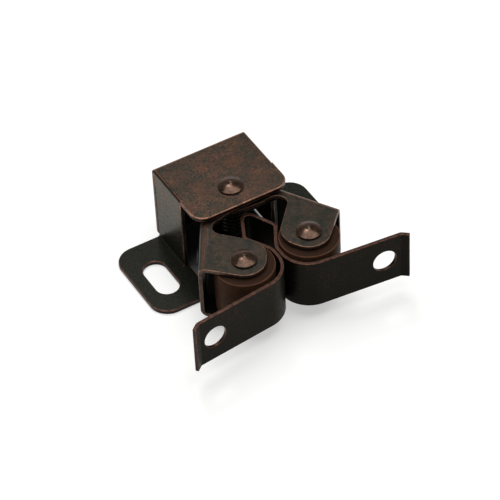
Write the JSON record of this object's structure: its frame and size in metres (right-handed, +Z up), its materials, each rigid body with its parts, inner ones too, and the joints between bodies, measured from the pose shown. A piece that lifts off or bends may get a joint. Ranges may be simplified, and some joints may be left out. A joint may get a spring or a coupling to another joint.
{
  "type": "double roller catch",
  "caption": "Sprung roller catch for a cabinet door: a folded housing with slotted ears, pivoting arms that carry plastic rollers, and a spear-shaped strike gripped between them.",
  "frame": {"origin": "midway between the two screw slots of the housing, on the face that lies on the cabinet", "axes": "+Z up from the mounting face, X across the two ears, the strike leaves towards -Y"},
  "size_m": [0.0416, 0.035, 0.0169],
  "materials": {
    "plated_steel": "antique copper plating, satin, with copper showing at the edges",
    "plated_rivet": "antique copper plating, satin",
    "roller_plastic": "satin brown plastic",
    "spring_wire": "dark drawn wire"
  },
  "bodies": {
    "housing": {"housing": "plated_steel", "pivot_rivet": "plated_rivet", "spring": "spring_wire"},
    "left_arm": {"left_arm": "plated_steel", "left_roller_rivet": "plated_rivet"},
    "right_arm": {"right_arm": "plated_steel", "right_roller_rivet": "plated_rivet"},
    "left_roller": {"left_roller": "roller_plastic"},
    "right_roller": {"right_roller": "roller_plastic"},
    "strike": {"strike": "plated_steel"}
  },
  "joints": [
    {"name": "strike_slide", "type": "slide", "parent": "housing", "child": "strike", "axis": [0, -1, 0], "range_m": [0, 0.0031], "stiffness_N_per_m": 1500},
    {"name": "left_arm_swing", "type": "hinge", "parent": "housing", "child": "left_arm", "pos_m": [0, -0.00116, 0.0089], "axis": [0, 0, -1], "range_deg": [0, 8.75], "deforming": ["spring"]},
    {"name": "right_arm_swing", "type": "hinge", "parent": "housing", "child": "right_arm", "pos_m": [0, -0.00116, 0.0089], "axis": [0, 0, 1], "range_deg": [0, 8.75], "deforming": ["spring"]},
    {"name": "left_roller_spin", "type": "hinge", "parent": "left_arm", "child": "left_roller", "pos_m": [-0.00622, -0.0162, 0.0089], "axis": [0, 0, 1], "continuous": true},
    {"name": "right_roller_spin", "type": "hinge", "parent": "right_arm", "child": "right_roller", "pos_m": [0.00622, -0.0162, 0.0089], "axis": [0, 0, 1], "continuous": true}
  ],
  "couplings": [
    {"joint": "left_arm_swing", "follows": "strike_slide", "rad_per_m": 49},
    {"joint": "right_arm_swing", "follows": "strike_slide", "rad_per_m": 49}
  ]
}
